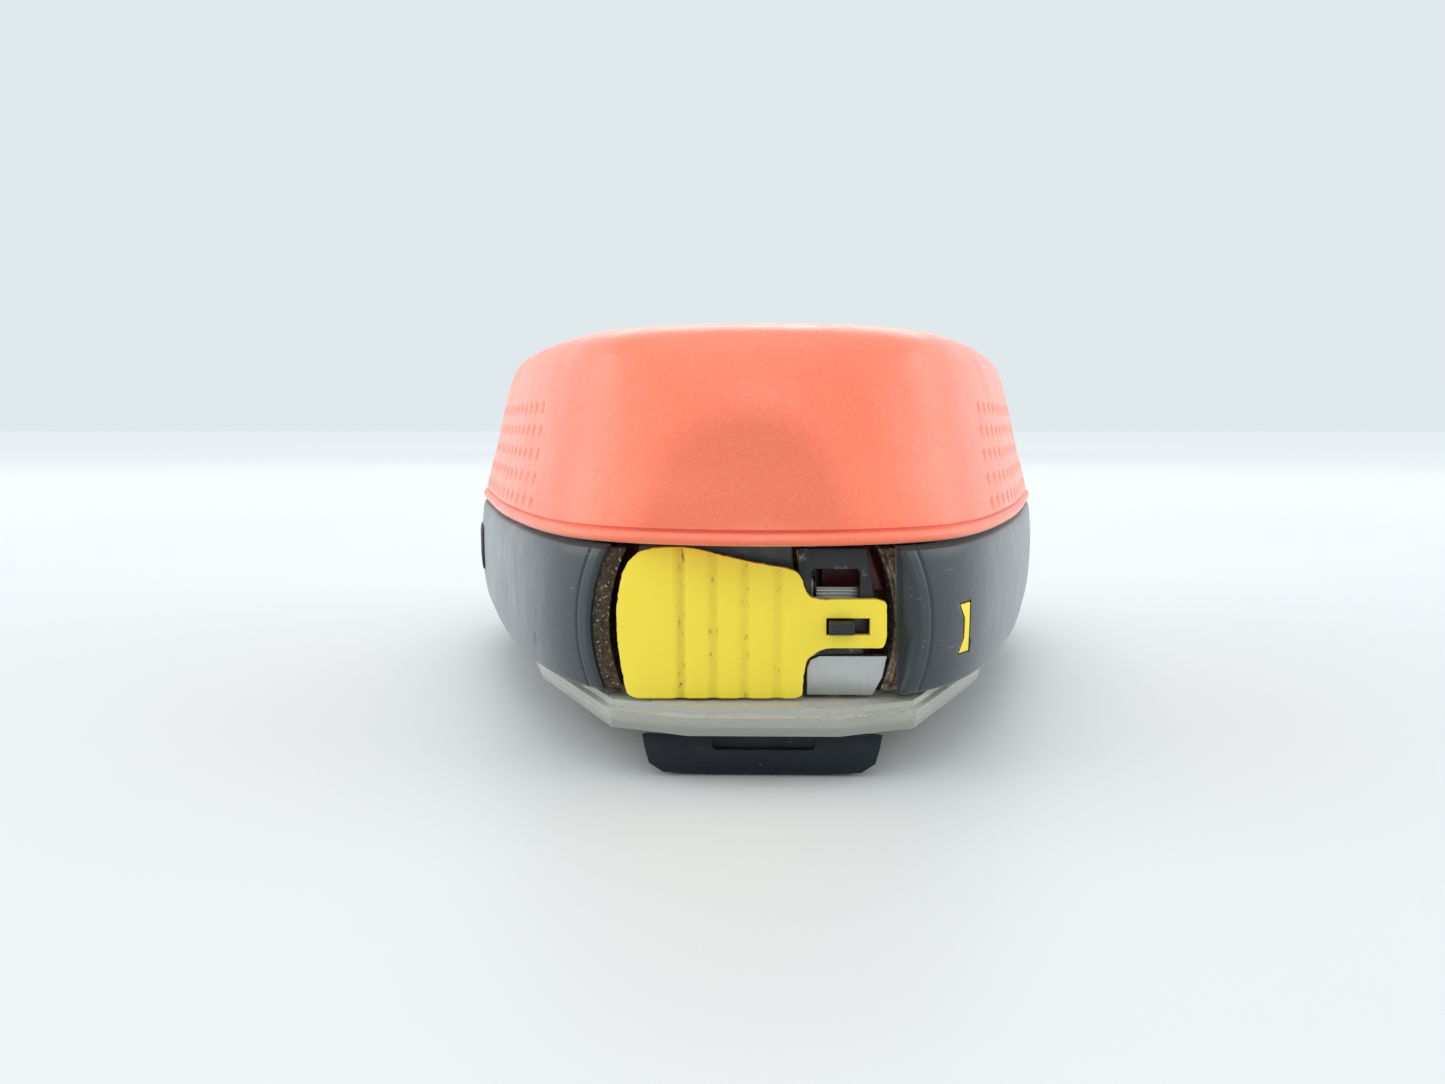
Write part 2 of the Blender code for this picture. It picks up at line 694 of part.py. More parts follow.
def belt_clip():
    """The clip's tongue with its lip at the free end, its root, and the screw that holds the root."""
    root = CLIP_HINGE_Y
    front = CLIP_FRONT_Y
    outline = (
        (root, 0.0),
        (root, 2.8),
        (root - 6.0, 1.9),
        (front + 6.5, 1.9),
        (front + 4.0, 4.5),
        (front + 0.6, 5.4),
        (front, 3.8),
        (front + 0.4, 0.6),
        (front + 1.2, 0.0),
    )
    half = CLIP_HALF_WIDTH
    clip = prism("belt_clip", outline, -half, half, "X", "black", (0.0, root, 1.4))
    right = [(9.0, -0.1), (9.0, 0.0), (12.4, 0.6), (14.1, 1.8), (half + 0.1, 6.0)]
    section = right + [(-x, z) for x, z in right[::-1]]
    boolean(clip, prism("clip_section", section, front - 3.0, root + 3.0, "Y", "black"), "INTERSECT")
    outline = rounded_box(6.4, 1.4, 0.5, 3, (0.2, 5.0))
    notch = prism("clip_notch", outline, front - 3.0, front + 1.2, "Y", "black")
    boolean(clip, notch, "DIFFERENCE")
    base = box_outline(root + GAP, root + 12.0, 0.0, 3.3)
    mount = prism("clip_base", base, -half, half, "X", "black")
    place = clip_screw_place()
    hole = cylinder("clip_base_hole", 1.6, -2.0, 6.0, place, "black", 14)
    boolean(mount, hole, "DIFFERENCE")
    seat = cylinder("clip_base_seat", 3.3, -2.0, 1.8, place, "black", 16)
    boolean(mount, seat, "DIFFERENCE")
    turned_pin("clip_screw", ((3.0, 0.4), (3.0, 1.5), (1.3, 1.5), (1.3, 6.8), (0.6, 7.3)), place)


def main():
    clear_scene()
    top_cover()
    rubber_band()
    index_mark()
    inner_frame()
    clear_cover()
    base_plate()
    case_screws()
    mouth_pads()
    mouth_fittings()
    reel()
    power_spring()
    reel_post()
    spring_plate()
    guide_posts()
    blade()
    end_hook()
    hook_carrier()
    thumb_tab()
    brake()
    belt_clip()


main()
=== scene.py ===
"""The looks of the tape measure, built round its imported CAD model. Lengths are in millimetres until a mesh is
made. The case lies on its side with its mouth towards -Y."""

import json
from math import cos, exp, hypot, pi, radians, sin, sqrt

import bmesh
import bpy
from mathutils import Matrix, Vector, noise


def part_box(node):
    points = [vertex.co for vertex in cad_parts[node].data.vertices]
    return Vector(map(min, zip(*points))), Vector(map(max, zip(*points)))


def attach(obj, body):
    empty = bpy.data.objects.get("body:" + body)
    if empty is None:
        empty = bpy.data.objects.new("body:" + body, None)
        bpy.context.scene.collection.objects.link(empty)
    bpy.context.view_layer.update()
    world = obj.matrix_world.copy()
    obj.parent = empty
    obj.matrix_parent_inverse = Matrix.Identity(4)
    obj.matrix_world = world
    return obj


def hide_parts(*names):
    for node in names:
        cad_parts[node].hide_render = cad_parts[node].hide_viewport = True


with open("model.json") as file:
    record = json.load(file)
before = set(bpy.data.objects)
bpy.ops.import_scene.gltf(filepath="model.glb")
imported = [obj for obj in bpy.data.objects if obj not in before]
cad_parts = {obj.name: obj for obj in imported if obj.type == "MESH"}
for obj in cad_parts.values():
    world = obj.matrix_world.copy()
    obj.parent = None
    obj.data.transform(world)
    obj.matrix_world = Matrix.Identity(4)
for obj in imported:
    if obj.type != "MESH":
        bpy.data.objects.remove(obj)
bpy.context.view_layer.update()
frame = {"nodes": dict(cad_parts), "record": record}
MM = 0.001

# The case's plan and heights, as in the CAD model
NOSE_Y = -64.0
PLAN = (
    (0.0, NOSE_Y),
    (16.6, -60.6),
    (27.2, -51.3),
    (38.4, -28.3),
    (47.6, -2.0),
    (53.4, 18.0),
    (54.2, 34.0),
    (47.5, 51.0),
    (29.0, 61.4),
    (0.0, 64.0),
)
PLAN_CENTRE_Y = 8.0
HALF_WIDTH = 54.0
TOP_Z = 57.2
PARTING_Z = 29.2
BAND_BOTTOM_Z = 10.8
COVER_WALL = 2.2
PLAN_POINTS = 840

# The mouth
MOUTH_LEFT = -18.9
MOUTH_RIGHT = 16.2
MOUTH_BULGE = 5.0
MOUTH_MIDDLE = 19.2
MOUTH_REACH = 14.2
PAD_THICK = 2.0
PAD_FRONT_Y = NOSE_Y + 5.6
PAD_BACK_Y = NOSE_Y + 12.6

# The rows of dimples on the cover's sides: where they start along the plan, from the nose
DIMPLE_ROWS = (46.0, 42.7, 39.4, 36.1, 32.9)
DIMPLE_START = 46.0
DIMPLE_SLANT = 0.28
DIMPLE_PITCH = 4.5
DIMPLE_COUNT = 16
DIMPLE_RADIUS = 0.9
DIMPLE_DEPTH = 0.4

# The thumb tab
TAB_FRONT_Y = NOSE_Y + 4.2
TAB_THICK = 1.1
TAB_RIBS = (-10.0, -6.0, -2.2, 1.8)
RIB_RADIUS = 1.5
RIB_DEPTH = 0.32

# The camera, close to the mouth and a little above it
CAMERA_PLACE = (-2.64, -179.0, 44.1)
CAMERA_PITCH = 6.9
CAMERA_YAW = 1.08
FOCAL_LENGTH = 24.9

# The lamp over the camera and the arch that its card shades on the front of the cover
FRONT_LAMP = (-20.0, -900.0, 480.0)
FRONT_POWER = 1.9
ARCH_MIDDLE_X = -2.5
ARCH_HALF = 13.0
ARCH_LOW_Z = 29.0
ARCH_TALL = 18.0


# ---- Meshes ----


def mesh_object(name, points, faces, sharp=35.0):
    mesh = bpy.data.meshes.new(name)
    mesh.from_pydata([Vector(point) * MM for point in points], [], faces)
    work = bmesh.new()
    work.from_mesh(mesh)
    bmesh.ops.recalc_face_normals(work, faces=work.faces)
    work.to_mesh(mesh)
    work.free()
    obj = bpy.data.objects.new(name, mesh)
    bpy.context.scene.collection.objects.link(obj)
    shade(obj, sharp)
    return obj


def shade(obj, sharp):
    obj.data.shade_smooth()
    obj.data.set_sharp_from_angle(angle=radians(sharp))


def skin(rings, loop=False):
    """Points and faces through rings of equal length: closed into a loop, or capped at both ends."""
    count = len(rings[0])
    points = [point for ring in rings for point in ring]
    faces = []
    for row in range(len(rings) if loop else len(rings) - 1):
        near = row * count
        far = (row + 1) % len(rings) * count
        for i in range(count):
            after = (i + 1) % count
            faces.append((near + i, near + after, far + after, far + i))
    if not loop:
        faces.append(tuple(range(count)))
        faces.append(tuple(range(len(points) - count, len(points))))
    return points, faces


def prism(name, outline, low, high, axis, sharp=35.0):
    """An outline pushed along an axis: (x, y) along Z, (x, z) along Y, or (y, z) along X."""
    place = {
        "Z": lambda a, b, at: (a, b, at),
        "Y": lambda a, b, at: (a, at, b),
        "X": lambda a, b, at: (at, a, b),
    }[axis]
    return mesh_object(name, *skin([[place(a, b, at) for a, b in outline] for at in (low, high)]), sharp)


def box(name, x, y, z):
    return prism(name, [(x[0], y[0]), (x[1], y[0]), (x[1], y[1]), (x[0], y[1])], *z, "Z")


def circle(radius, steps, centre=(0.0, 0.0)):
    turn = 2 * pi / steps
    return [(centre[0] + radius * cos(i * turn), centre[1] + radius * sin(i * turn)) for i in range(steps)]


def rounded(corners, cut, steps=4):
    """The outline with each corner turned into a short curve, no longer than its sides allow."""
    curve = []
    for i, (x, y) in enumerate(corners):
        ends = []
        for other_x, other_y in (corners[i - 1], corners[(i + 1) % len(corners)]):
            length = hypot(other_x - x, other_y - y)
            share = min(cut / length, 0.45)
            ends.append((x + (other_x - x) * share, y + (other_y - y) * share))
        for step in range(steps + 1):
            t = step / steps
            weights = ((1 - t) ** 2, 2 * t * (1 - t), t * t)
            near = (ends[0], (x, y), ends[1])
            curve.append(tuple(sum(w * point[k] for w, point in zip(weights, near)) for k in (0, 1)))
    return curve


def catmull_rom(before, start, end, after, t):
    weights = (
        (-t + 2 * t * t - t**3) / 2,
        (2 - 5 * t * t + 3 * t**3) / 2,
        (t + 4 * t * t - 3 * t**3) / 2,
        (-t * t + t**3) / 2,
    )
    near = (before, start, end, after)
    return tuple(sum(w * point[k] for w, point in zip(weights, near)) for k in (0, 1))


def smooth_open(corners, steps):
    """A curve through the corners, from the first to the last."""
    padded = [corners[0], *corners, corners[-1]]
    curve = []
    for i in range(len(corners) - 1):
        curve += [catmull_rom(*padded[i : i + 4], step / steps) for step in range(steps)]
    return curve + [corners[-1]]


def smooth_closed(corners, steps):
    count = len(corners)
    curve = []
    for i in range(count):
        near = [corners[(i + k) % count] for k in (-1, 0, 1, 2)]
        curve += [catmull_rom(*near, step / steps) for step in range(steps)]
    return curve


def even_points(curve, count):
    """Points at even distances round a closed curve, and its whole length."""
    ends = curve[1:] + curve[:1]
    lengths = [hypot(b[0] - a[0], b[1] - a[1]) for a, b in zip(curve, ends)]
    total = sum(lengths)
    points = []
    at = 0
    passed = 0.0
    for i in range(count):
        while passed + lengths[at] < total * i / count:
            passed += lengths[at]
            at += 1
        t = (total * i / count - passed) / lengths[at]
        a, b = curve[at], ends[at]
        points.append((a[0] + (b[0] - a[0]) * t, a[1] + (b[1] - a[1]) * t))
    return points, total


def apply_modifiers(obj):
    graph = bpy.context.evaluated_depsgraph_get()
    mesh = bpy.data.meshes.new_from_object(obj.evaluated_get(graph))
    obj.modifiers.clear()
    obj.data = mesh


def carve(target, cutter, operation="DIFFERENCE"):
    step = target.modifiers.new("carve", "BOOLEAN")
    step.operation = operation
    step.object = cutter
    step.solver = "EXACT"
    apply_modifiers(target)
    bpy.data.objects.remove(cutter, do_unlink=True)


def soften(obj, width, segments=3, sharp=35.0):
    """Rounds the sharp edges, after joining the flat faces that a Boolean split."""
    work = bmesh.new()
    work.from_mesh(obj.data)
    bmesh.ops.remove_doubles(work, verts=work.verts, dist=0.002 * MM)
    bmesh.ops.dissolve_limit(work, angle_limit=radians(0.8), verts=work.verts, edges=work.edges)
    work.to_mesh(obj.data)
    work.free()
    step = obj.modifiers.new("bevel", "BEVEL")
    step.width = width * MM
    step.segments = segments
    step.limit_method = "ANGLE"
    step.angle_limit = radians(sharp)
    apply_modifiers(obj)
    shade(obj, 50.0)


def copy_of(node, name):
    """A new object with the shape of a CAD node."""
    obj = bpy.data.objects.new(name, frame["nodes"][node].data.copy())
    bpy.context.scene.collection.objects.link(obj)
    return obj


# ---- The case's plan ----

OUTLINE, OUTLINE_LENGTH = even_points(
    smooth_closed(list(PLAN) + [(-x, y) for x, y in PLAN[-2:0:-1]], 60), PLAN_POINTS
)


def outline_at(along):
    """The plan's point at a distance along it from the nose, by way of the right side."""
    place = along / OUTLINE_LENGTH * PLAN_POINTS
    first = int(place)
    a = OUTLINE[first % PLAN_POINTS]
    b = OUTLINE[(first + 1) % PLAN_POINTS]
    t = place - first
    return a[0] + (b[0] - a[0]) * t, a[1] + (b[1] - a[1]) * t


def drawn_in(point, inset, z):
    """A plan point at one height, moved towards the middle of the case."""
    x, y = point
    share = 1 - inset / hypot(x, y - PLAN_CENTRE_Y)
    return x * share, PLAN_CENTRE_Y + (y - PLAN_CENTRE_Y) * share, z


def shrunk(point, inset, z):
    """A plan point at one height, with the whole plan shrunk until its sides come in by the inset."""
    x, y = point
    share = 1 - inset / HALF_WIDTH
    return x * share, PLAN_CENTRE_Y + (y - PLAN_CENTRE_Y) * share, z


# ---- The domed cover ----

# From the rim up, as (z, inset): the rolled edge, the groove above it, then the dome
ROLLED_EDGE = (
    (29.5, 1.0),
    (29.6, 0.35),
    (29.9, 0.05),
    (30.3, -0.08),
    (30.7, 0.05),
    (30.95, 0.45),
    (31.1, 0.95),
)
DOME = (
    (31.25, 0.95),
    (31.6, 0.66),
    (34.5, 1.4),
    (39.0, 2.8),
    (44.5, 4.2),
    (50.0, 5.7),
    (53.4, 7.1),
    (55.6, 9.2),
    (56.7, 12.6),
    (TOP_Z - 0.12, 18.5),
    (TOP_Z - 0.02, 30.0),
    (TOP_Z - 0.01, 53.4),
)
ROW_STEP = 0.36


def dimple(along, z):
    """How deep the dimples are at a distance along the plan and a height."""
    along = min(along, OUTLINE_LENGTH - along)
    for row in DIMPLE_ROWS:
        if abs(z - row) < DIMPLE_RADIUS:
            start = DIMPLE_START + (DIMPLE_ROWS[0] - row) * -DIMPLE_SLANT
            nearest = round((along - start) / DIMPLE_PITCH)
            nearest = max(0, min(DIMPLE_COUNT - 1, nearest))
            away = hypot(along - start - nearest * DIMPLE_PITCH, z - row) / DIMPLE_RADIUS
            return DIMPLE_DEPTH * (1 - away * away) if away < 1 else 0.0
    return 0.0


def dome_profile():
    """The dome's (z, inset), closely spaced."""
    curve = smooth_open(DOME, 24)
    profile = [curve[0]]
    for z, inset in curve[1:]:
        if hypot(z - profile[-1][0], inset - profile[-1][1]) > ROW_STEP * (1 if z < 50 else 2):
            profile.append((z, inset))
    return profile + [curve[-1]]


def domed_cover():
    outside = []
    for z, inset in ROLLED_EDGE + tuple(dome_profile()):
        ring = []
        for i, point in enumerate(OUTLINE):
            depth = dimple(i * OUTLINE_LENGTH / PLAN_POINTS, z) if 31.5 < z < 48 else 0.0
            ring.append(shrunk(point, inset + depth, z))
        outside.append(ring)
    inside = [[shrunk(point, DOME[1][1] + COVER_WALL, 29.5) for point in OUTLINE]]
    for z, inset in DOME[2:]:
        drop = COVER_WALL * (z > 45)
        inside.append([shrunk(point, min(inset + COVER_WALL, 53.6), z - drop) for point in OUTLINE])
    return mesh_object("cover", *skin(inside[::-1] + outside), 55.0)


# ---- The rubber band ----

BAND_OUTSIDE = (
    (10.8, 1.2),
    (11.0, 0.6),
    (11.6, 0.15),
    (14.5, -0.35),
    (18.5, -0.6),
    (23.0, -0.6),
    (27.0, -0.25),
    (28.3, 0.0),
    (28.75, 0.25),
    (28.9, 0.7),
)
BAND_INSIDE = ((28.9, 3.5), (24.0, 3.5), (16.0, 3.6), (10.8, 3.8))
LIP_RADIUS = 0.9
LIP_LINE = 2.4
EDGE_ZONE = 4.0
BRAKE_Y = 12.0
BRAKE_Z = 20.4
SLOT_HALF_LONG = 7.8
SLOT_HALF_TALL = 4.3
SLOT_CORNER = 2.5
DENTS = ((-37.7, -31.9, 19.0, 1.3), (-30.1, -47.8, 18.6, 0.5), (-30.6, -46.2, 14.6, 0.8))


def mouth_edge(side, z):
    """How far from the middle the band ends, at one height."""
    wall = MOUTH_RIGHT if side > 0 else -MOUTH_LEFT
    rise = (z - MOUTH_MIDDLE) / MOUTH_REACH
    return wall + PAD_THICK + 0.3 - MOUTH_BULGE * rise * rise


def along_to_edge(side, z, inset):
    """The distance along the plan, from the nose, at which the band starts."""
    target = mouth_edge(side, z)
    low, high = 5.0, 40.0
    for _ in range(24):
        middle = (low + high) / 2
        if drawn_in(outline_at(middle), inset, z)[0] < target:
            low = middle
        else:
            high = middle
    return low


def band_column(share, z, inset):
    """(distance along the plan, distance from the nearer end) of one column of the band."""
    first = along_to_edge(1, z, inset)
    last = OUTLINE_LENGTH - along_to_edge(-1, z, inset)
    zone, place = share
    if zone == "start":
        return first + place, place
    if zone == "end":
        return last - place, place
    return first + EDGE_ZONE + (last - first - 2 * EDGE_ZONE) * place, EDGE_ZONE


def lip(away):
    """The rounded lip at the mouth and the line moulded beside it."""
    line = 0.16 * exp(-(((away - LIP_LINE) / 0.2) ** 2))
    if away >= LIP_RADIUS:
        return line
    return line + LIP_RADIUS - sqrt(LIP_RADIUS**2 - (LIP_RADIUS - away) ** 2)


def dent(place):
    depth = 0.0
    for x, y, z, half in DENTS:
        across = hypot(place[0] - x, place[1] - y) / 0.32
        up = (place[2] - z) / half
        depth += 0.35 * exp(-across * across - up**4)
    return depth


def rubber_band():
    near = [EDGE_ZONE * step / 20 for step in range(20)]
    shares = [("start", d) for d in near]
    shares += [("middle", step / 420) for step in range(421)]
    shares += [("end", d) for d in near[::-1]]
    profile = [(*point, True) for point in smooth_open(BAND_OUTSIDE, 5)]
    profile += [(*point, False) for point in BAND_INSIDE]
    columns = []
    for share in shares:
        column = []
        for z, inset, outer in profile:
            along, away = band_column(share, z, inset)
            point = drawn_in(outline_at(along), inset + (lip(away) if outer else 0.0), z)
            if outer and point[1] < -25 and point[0] < -25:
                point = drawn_in(outline_at(along), inset + lip(away) + dent(point), z)
            column.append(point)
        columns.append(column)
    band = mesh_object("band", *skin(columns), 50.0)
    carve(band, brake_slot())
    carve(band, mark_recess())
    return band


def brake_slot():
    """A cutter for the rounded slot that the brake button comes through."""
    left, right = BRAKE_Y - SLOT_HALF_LONG, BRAKE_Y + SLOT_HALF_LONG
    low, high = BRAKE_Z - SLOT_HALF_TALL, BRAKE_Z + SLOT_HALF_TALL
    outline = rounded([(left, low), (right, low), (right, high), (left, high)], SLOT_CORNER)
    return prism("slot", outline, -65.0, -35.0, "X")


def mark_recess():
    """A cutter a little larger than the index mark: an upright bar, waisted on its left."""
    left, right = 24.8, 26.4
    low, high = 15.0, 21.3
    waisted, half_waist = 0.8, 1.3
    grow = 0.22
    middle = (low + high) / 2
    outline = [
        (left - grow, low - grow),
        (right + grow, low - grow),
        (right + grow, high + grow),
        (left - grow, high + grow),
        (left - grow + waisted, middle + half_waist),
        (left - grow + waisted, middle - half_waist),
    ]
    return prism("recess", outline, -62.0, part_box("index_mark")[1].y / MM + 0.1, "Y")


# ---- The strips in the mouth ----


def mouth_strip(name, side, ribs):
    """A granular strip down one side of the mouth; the right one has upright ribs."""
    wall = MOUTH_RIGHT if side > 0 else -MOUTH_LEFT
    low = BAND_BOTTOM_Z + 0.4
    high = PARTING_Z - 0.5
    rows = 70
    section = []
    for step in range(30):
        section.append((0.0, PAD_BACK_Y + (PAD_FRONT_Y - PAD_BACK_Y) * step / 30, -1, 0))
    for step in range(12):
        section.append((PAD_THICK * step / 12, PAD_FRONT_Y, 0, -1))
    section += [(PAD_THICK, PAD_FRONT_Y, 0, 0), (PAD_THICK, PAD_BACK_Y, 0, 0)]
    rings = []
    for row in range(rows + 1):
        z = low + (high - low) * row / rows
        rise = (z - MOUTH_MIDDLE) / MOUTH_REACH
        inner = wall - MOUTH_BULGE * rise * rise
        ring = []
        for across, y, push_x, push_y in section:
            grain = noise.noise(Vector((across * 2.2, y * 2.2 + side * 40, z * 2.2)))
            fine = noise.noise(Vector((across * 6, y * 6 + side * 40, z * 6)))
            sink = 0.16 + 0.10 * grain + 0.09 * fine
            if ribs:
                sink += 0.17 * (1 + sin((across if push_y else y) * 2 * pi / 1.15))
            x = inner + across - push_x * sink
            ring.append((side * x, y - push_y * sink, z))
        rings.append(ring)
    return mesh_object(name, *skin(rings), 80.0)


# ---- The tab and the hook ----

PADDLE_TOP = (
    (-17.8, 20.9),
    (-17.5, 23.9),
    (-16.8, 26.5),
    (-15.3, 28.4),
    (-12.9, 29.0),
    (-8.9, 29.0),
    (-5.2, 28.1),
    (-0.5, 27.0),
    (3.5, 26.4),
    (4.6, 25.6),
    (5.0, 24.1),
)
NECK = ((5.6, 23.0), (7.0, 22.6), (14.5, 22.7), (15.0, 22.1), (15.0, 17.3), (14.5, 16.7), (8.0, 16.7))
PADDLE_FOOT = (
    (6.3, 16.2),
    (5.3, 15.0),
    (5.0, 13.2),
    (4.9, 10.4),
    (-16.5, 10.4),
    (-17.2, 13.6),
    (-17.7, 17.6),
)
TAB_SLOT = ((7.7, 13.0), (18.3, 20.4))


def frayed(outline, amount):
    """An outline whose edge wanders a little, as cut or worn plastic does."""
    curve = []
    for x, z in outline:
        shifts = [noise.noise(Vector((x * 1.7, layer, z * 1.7))) * amount for layer in (3.3, 9.7)]
        curve.append((x + shifts[0], z + shifts[1]))
    return curve


def thumb_tab():
    outline = frayed(rounded(PADDLE_TOP + NECK + PADDLE_FOOT, 1.2, 8), 0.12)
    tab = prism("tab", outline, TAB_FRONT_Y, TAB_FRONT_Y + TAB_THICK, "Y")
    (left, right), (low, high) = TAB_SLOT
    carve(tab, box("slot", (left, right), (NOSE_Y, NOSE_Y + 10.0), (low, high)))
    for at, x in enumerate(TAB_RIBS):
        groove = circle(RIB_RADIUS, 40, (x, TAB_FRONT_Y - RIB_RADIUS + RIB_DEPTH))
        carve(tab, prism(f"groove_{at}", groove, 5.0, 35.0, "Z"))
    soften(tab, 0.18, 3, 30.0)
    return tab


def end_hook():
    """The bright plate, with ribs across the tongue that shows in the carrier's window."""
    hook = copy_of("end_hook", "hook_plate")
    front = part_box("end_hook")[0].y / MM + 1.1
    for step in range(4):
        z = 22.2 + 0.42 * step
        carve(hook, box("rib_gap", (6.0, 12.4), (front - 0.4, front + 0.14), (z, z + 0.16)))
    soften(hook, 0.12, 2)
    return hook


def hook_carrier():
    carrier = copy_of("hook_carrier", "carrier")
    soften(carrier, 0.14, 2)
    return carrier


# ---- The belt clip ----


def belt_clip():
    """The clip's tongue, whose free end has a crowned underside that touches down along its middle."""
    clip = copy_of("belt_clip", "clip_tongue")
    low, high = (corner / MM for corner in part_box("belt_clip"))
    half = high.x
    steps = 24
    rise, corner_rise, corner_from = 0.95, 1.3, 0.86
    crown = []
    for step in range(steps + 1):
        across = 1 - 2 * step / steps
        corner = max(0.0, abs(across) - corner_from) / (1 - corner_from)
        crown.append((half * across, rise * abs(across) ** 2.6 + corner_rise * corner))
    section = [(-half, 9.0), (half, 9.0), *crown]
    carve(clip, prism("section", section, low.y - 1.0, high.y + 1.0, "Y"), "INTERSECT")
    soften(clip, 0.4)
    return clip


# ---- Screws ----


def screw(node, name, neck_z):
    """A pan head with a cross recess, facing down, over the CAD screw's own shank."""
    low, high = (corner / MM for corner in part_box(node))
    centre = ((low.x + high.x) / 2, (low.y + high.y) / 2)
    head = (high.x - low.x) / 2
    shank = head / 2
    profile = (
        (head * 0.72, low.z),
        (head * 0.93, low.z + 0.2),
        (head, low.z + 0.6),
        (head, neck_z),
        (shank, neck_z),
    )
    rings = [[(*point, z) for point in circle(radius, 32, centre)] for radius, z in profile]
    z = neck_z + 0.4
    while z < high.z - 1.2:
        rings.append([(*point, z) for point in circle(shank, 32, centre)])
        rings.append([(*point, z + 0.35) for point in circle(shank * 0.82, 32, centre)])
        z += 0.8
    rings.append([(*point, high.z - 0.9) for point in circle(shank * 0.8, 32, centre)])
    rings.append([(*point, high.z) for point in circle(shank * 0.3, 32, centre)])
    made = mesh_object(name, *skin(rings))
    long, wide, deep = head * 0.55, 0.35, 0.9
    for half_x, half_y in ((long, wide), (wide, long)):
        x = (centre[0] - half_x, centre[0] + half_x)
        y = (centre[1] - half_y, centre[1] + half_y)
        carve(made, box("recess", x, y, (low.z - 1.0, low.z + deep)))
    return made


# ---- Materials ----


class Look:
    """A material being made: its nodes, its shader and the piece's rest coordinates in millimetres."""

    def __init__(self, name, color, roughness, metallic=0.0):
        self.material = bpy.data.materials.new(name)
        self.material.use_nodes = True
        self.tree = self.material.node_tree
        self.shader = self.tree.nodes["Principled BSDF"]
        self.set("Base Color", (*color, 1.0))
        self.set("Roughness", roughness)
        self.set("Metallic", metallic)
        self.color = color
        place = self.tree.nodes.new("ShaderNodeTexCoord")
        self.place = self.scaled(place.outputs["Object"], (1 / MM, 1 / MM, 1 / MM))

    def set(self, name, value):
        self.shader.inputs[name].default_value = value

    def link(self, source, target):
        self.tree.links.new(source, target)

    def into(self, name, source):
        self.link(source, self.shader.inputs[name])

    def scaled(self, source, scale):
        node = self.tree.nodes.new("ShaderNodeMapping")
        node.inputs["Scale"].default_value = scale
        self.link(source, node.inputs["Vector"])
        return node.outputs[0]

    def noise(self, size, detail=3.0, stretch=(1, 1, 1), rough=0.5):
        """Noise from 0 to 1 whose lumps are about size millimetres across."""
        node = self.tree.nodes.new("ShaderNodeTexNoise")
        node.inputs["Scale"].default_value = 1.0
        node.inputs["Detail"].default_value = detail
        node.inputs["Roughness"].default_value = rough
        self.link(self.scaled(self.place, tuple(1 / (size * s) for s in stretch)), node.inputs["Vector"])
        return node.outputs["Fac"]

    def cells(self, size, feature="F1"):
        node = self.tree.nodes.new("ShaderNodeTexVoronoi")
        node.feature = feature
        node.inputs["Scale"].default_value = 1 / size
        self.link(self.place, node.inputs["Vector"])
        return node.outputs["Distance"]

    def axis(self, name):
        node = self.tree.nodes.new("ShaderNodeSeparateXYZ")
        self.link(self.place, node.inputs[0])
        return node.outputs[name]

    def facing(self, name):
        """The surface normal's part along one axis."""
        geometry = self.tree.nodes.new("ShaderNodeNewGeometry")
        node = self.tree.nodes.new("ShaderNodeSeparateXYZ")
        self.link(geometry.outputs["Normal"], node.inputs[0])
        return node.outputs[name]

    def between(self, source, low, high, start=0.0, end=1.0):
        """A smooth step from start to end as the source goes from low to high."""
        node = self.tree.nodes.new("ShaderNodeMapRange")
        node.interpolation_type = "SMOOTHSTEP"
        for slot, value in zip(("From Min", "From Max", "To Min", "To Max"), (low, high, start, end)):
            node.inputs[slot].default_value = value
        self.link(source, node.inputs["Value"])
        return node.outputs["Result"]

    def math(self, operation, first, second=None):
        node = self.tree.nodes.new("ShaderNodeMath")
        node.operation = operation
        for slot, value in zip(node.inputs, (first, second)):
            if isinstance(value, float):
                slot.default_value = value
            elif value is not None:
                self.link(value, slot)
        return node.outputs[0]

    def mix(self, factor, first, second):
        """A colour between two, each one a colour or another mix."""
        node = self.tree.nodes.new("ShaderNodeMix")
        node.data_type = "RGBA"
        self.link(factor, node.inputs["Factor"])
        for slot, value in zip((node.inputs[6], node.inputs[7]), (first, second)):
            if isinstance(value, tuple):
                slot.default_value = (*value, 1.0)
            else:
                self.link(value, slot)
        return node.outputs[2]

    def bump(self, height, depth, before=None):
        """A bump whose full height is a depth in millimetres, over an earlier bump."""
        node = self.tree.nodes.new("ShaderNodeBump")
        node.inputs["Distance"].default_value = depth * MM
        self.link(height, node.inputs["Height"])
        if before is not None:
            self.link(before, node.inputs["Normal"])
        return node.outputs[0]


